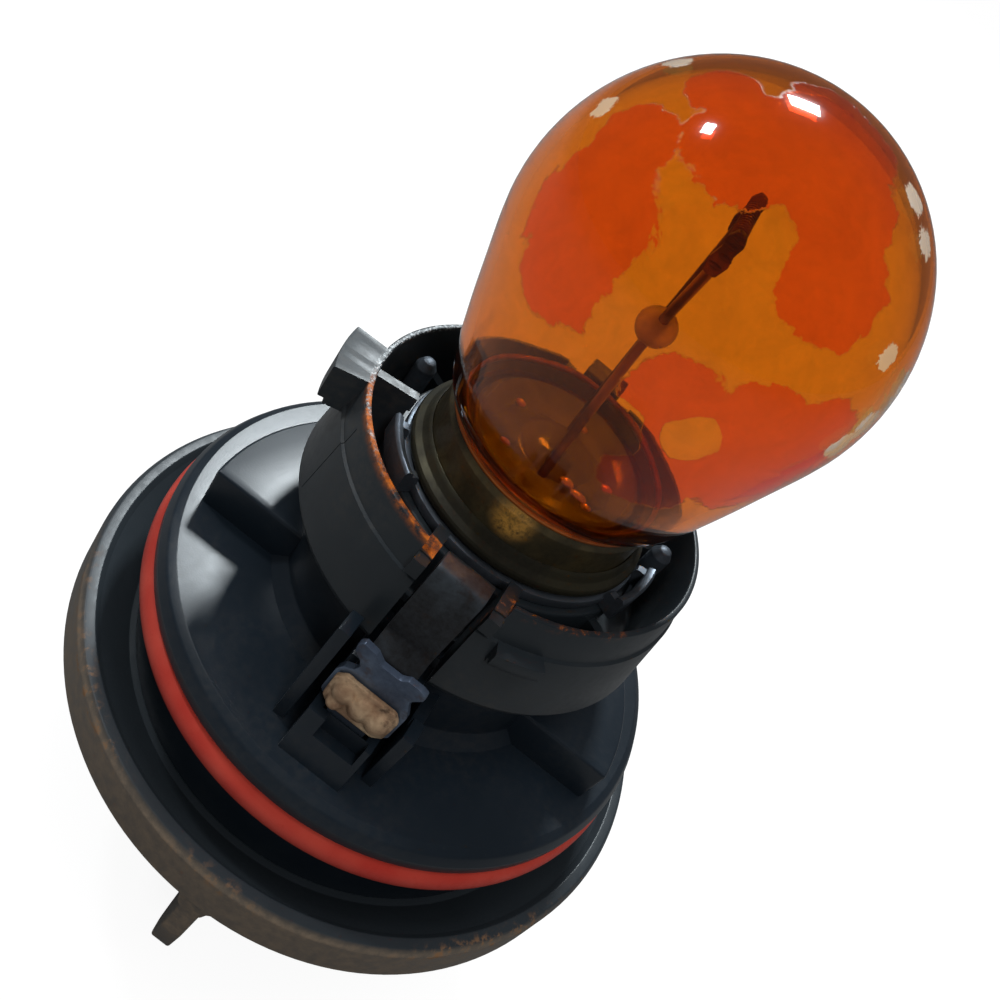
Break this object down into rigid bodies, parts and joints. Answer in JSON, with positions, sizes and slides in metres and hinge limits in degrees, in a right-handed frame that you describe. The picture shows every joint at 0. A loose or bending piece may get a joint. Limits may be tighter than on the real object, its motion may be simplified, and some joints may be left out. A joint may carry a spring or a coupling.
{
  "type": "headlight bulb",
  "caption": "Amber signal lamp with a metal cap held in a plastic carrier ring on a sealed plug-in base with an O-ring and a side connector.",
  "frame": {"origin": "on the lamp axis, in the plane of the carrier ring's underside, where the lamp's centre contact would be", "axes": "+Z along the lamp axis towards the tip of the glass, -Y towards the front terminal and the grip fin, +Y the way the cable connector faces, +X to the right seen from the front"},
  "size_m": [0.0368, 0.0434, 0.0573],
  "materials": {
    "amber_glass": "clear glass under a flaking amber lacquer",
    "clear_glass": "clear pressed glass",
    "tungsten": "dark drawn wire",
    "lead_wire": "nickel-iron wire",
    "cap_brass": "tarnished brass",
    "cement": "baked basing cement",
    "ring_steel": "dull spring steel",
    "black_plastic": "semi-gloss moulded plastic with dust",
    "strap_metal": "heat-browned steel strip",
    "terminal_steel": "blued pressed steel",
    "weld_copper": "copper weld with soot",
    "red_rubber": "silicone rubber",
    "seal_resin": "cast potting resin"
  },
  "bodies": {
    "root": {"glass_envelope": "amber_glass", "glass_seal_plate": "clear_glass", "exhaust_stub": "clear_glass", "glass_bead": "clear_glass", "support_wire_front": "lead_wire", "support_wire_rear": "lead_wire", "filament_clamp_front": "tungsten", "filament_clamp_rear": "tungsten", "filament_coil": "tungsten", "basing_cement": "cement", "cap_shell": "cap_brass", "cap_flange": "cap_brass", "retaining_ring": "ring_steel", "locating_pin_left": "ring_steel", "locating_pin_right": "ring_steel", "carrier_ring": "black_plastic", "contact_strap_front": "strap_metal", "contact_strap_rear": "strap_metal", "outer_lead_front": "lead_wire", "outer_lead_rear": "lead_wire", "terminal_front": "terminal_steel", "terminal_rear": "terminal_steel", "weld_nuggets_front": "weld_copper", "weld_nuggets_rear": "weld_copper", "base_body": "black_plastic", "o_ring": "red_rubber", "terminal_seal": "seal_resin", "rear_housing": "black_plastic"}
  },
  "joints": []
}
